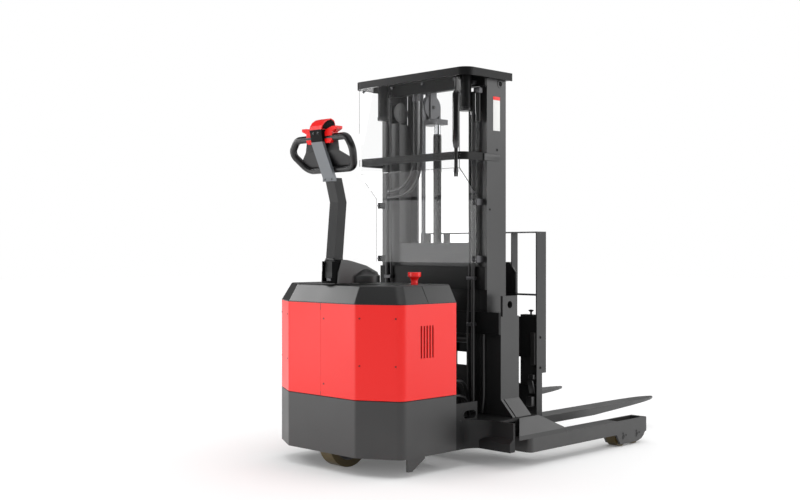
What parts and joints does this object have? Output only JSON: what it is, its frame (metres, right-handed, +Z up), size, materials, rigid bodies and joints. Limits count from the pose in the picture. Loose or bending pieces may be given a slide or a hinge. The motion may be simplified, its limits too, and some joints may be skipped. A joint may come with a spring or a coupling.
{
  "type": "reach truck",
  "caption": "Walk-behind straddle reach truck with a steered tiller, a telescopic mast and forks that reach out on crossed arms.",
  "frame": {"origin": "on the floor, under the middle of the overall box at rest", "axes": "+X towards the fork tips, +Y to the truck's left, +Z up"},
  "size_m": [2.195, 1.226, 1.795],
  "materials": {
    "red_paint": "satin red paint on steel covers",
    "body_grey": "dark grey satin paint on the body steel",
    "hood_plastic": "dark grey moulded hood",
    "mast_grey": "dark grey paint on the mast steel",
    "leg_grey": "dark grey paint on the straddle legs",
    "fork_black": "black painted forged steel",
    "reach_grey": "dark grey paint on the reach arms and frame",
    "tiller_grey": "blue-grey paint on the tiller",
    "tiller_black": "black grained plastic",
    "head_red": "red moulded tiller head",
    "knob_red": "red moulded knob",
    "wheel_pu": "brown cast polyurethane tread on a hub",
    "chrome_rod": "hard chrome piston rod",
    "bare_steel": "oiled steel",
    "battery_case": "black battery case",
    "clear_sheet": "clear polycarbonate sheet"
  },
  "bodies": {
    "truck": {"base_frame": "body_grey", "battery": "battery_case", "emergency_knob": "knob_red", "hood_front": "hood_plastic", "hood_rear": "hood_plastic", "inner_frame": "body_grey", "lift_cylinder": "mast_grey", "mast_beams": "mast_grey", "mast_foot_left": "mast_grey", "mast_foot_right": "mast_grey", "mast_outer_left": "mast_grey", "mast_outer_right": "mast_grey", "mid_guard": "mast_grey", "power_unit": "bare_steel", "red_cover_left": "red_paint", "red_cover_right": "red_paint", "screen": "clear_sheet", "screen_clips": "bare_steel", "skirt": "body_grey", "straddle_leg_left": "leg_grey", "straddle_leg_right": "leg_grey", "top_guard": "mast_grey"},
    "steer_unit": {"drive_unit": "bare_steel", "steering_cover": "hood_plastic", "tiller_yoke": "tiller_black"},
    "drive_wheel": {"drive_wheel": "wheel_pu"},
    "tiller": {"tiller_arm": "tiller_grey", "tiller_strap": "tiller_grey", "tiller_head": "tiller_black", "tiller_switches": "head_red", "tiller_loop": "tiller_black"},
    "load_wheel_front_left": {"load_wheel_front_left": "wheel_pu"},
    "load_wheel_front_right": {"load_wheel_front_right": "wheel_pu"},
    "load_wheel_rear_left": {"load_wheel_rear_left": "wheel_pu"},
    "load_wheel_rear_right": {"load_wheel_rear_right": "wheel_pu"},
    "inner_mast": {"mast_inner": "mast_grey", "lift_rod": "chrome_rod", "lift_chain": "bare_steel"},
    "reach_carriage": {"carriage": "reach_grey"},
    "reach_arm": {"reach_arms_outer": "reach_grey"},
    "reach_cross": {"reach_arms_inner": "reach_grey"},
    "fork_frame": {"fork_frame": "reach_grey", "load_backrest": "reach_grey", "fork_left": "fork_black", "fork_right": "fork_black"}
  },
  "joints": [
    {"name": "steering", "type": "hinge", "parent": "truck", "child": "steer_unit", "pos_m": [-0.9285, 0, 0.3], "axis": [0, 0, 1], "range_deg": [-90, 90]},
    {"name": "drive_wheel_spin", "type": "hinge", "parent": "steer_unit", "child": "drive_wheel", "pos_m": [-0.9285, 0, 0.115], "axis": [0, 1, 0], "continuous": true},
    {"name": "tiller_tilt", "type": "hinge", "parent": "steer_unit", "child": "tiller", "pos_m": [-0.9905, 0, 0.866], "axis": [0, -1, 0], "range_deg": [0, 80], "stiffness_Nm_per_rad": 60, "springref_deg": -11.46},
    {"name": "load_wheel_front_left_spin", "type": "hinge", "parent": "truck", "child": "load_wheel_front_left", "pos_m": [0.4855, 0.569, 0.05], "axis": [0, 1, 0], "continuous": true},
    {"name": "load_wheel_front_right_spin", "type": "hinge", "parent": "truck", "child": "load_wheel_front_right", "pos_m": [0.4855, -0.569, 0.05], "axis": [0, 1, 0], "continuous": true},
    {"name": "load_wheel_rear_left_spin", "type": "hinge", "parent": "truck", "child": "load_wheel_rear_left", "pos_m": [0.3685, 0.569, 0.05], "axis": [0, 1, 0], "continuous": true},
    {"name": "load_wheel_rear_right_spin", "type": "hinge", "parent": "truck", "child": "load_wheel_rear_right", "pos_m": [0.3685, -0.569, 0.05], "axis": [0, 1, 0], "continuous": true},
    {"name": "mast_lift", "type": "slide", "parent": "truck", "child": "inner_mast", "axis": [0, 0, 1], "range_m": [-0.045, 1.1]},
    {"name": "carriage_lift", "type": "slide", "parent": "inner_mast", "child": "reach_carriage", "axis": [0, 0, 1], "range_m": [-0.045, 1.1]},
    {"name": "reach", "type": "hinge", "parent": "reach_carriage", "child": "reach_arm", "pos_m": [-0.1705, 0, 0.86], "axis": [0, -1, 0], "range_deg": [0, 50]},
    {"name": "reach_cross_pin", "type": "hinge", "parent": "reach_arm", "child": "reach_cross", "pos_m": [-0.1105, 0, 0.52534], "axis": [0, -1, 0], "range_deg": [-100, 0]},
    {"name": "fork_frame_pin", "type": "hinge", "parent": "reach_cross", "child": "fork_frame", "pos_m": [-0.0505, 0, 0.86], "axis": [0, -1, 0], "range_deg": [0, 50]}
  ],
  "couplings": [
    {"joint": "carriage_lift", "follows": "mast_lift", "ratio": 1},
    {"joint": "reach_cross_pin", "follows": "reach", "ratio": -2},
    {"joint": "fork_frame_pin", "follows": "reach", "ratio": 1}
  ]
}
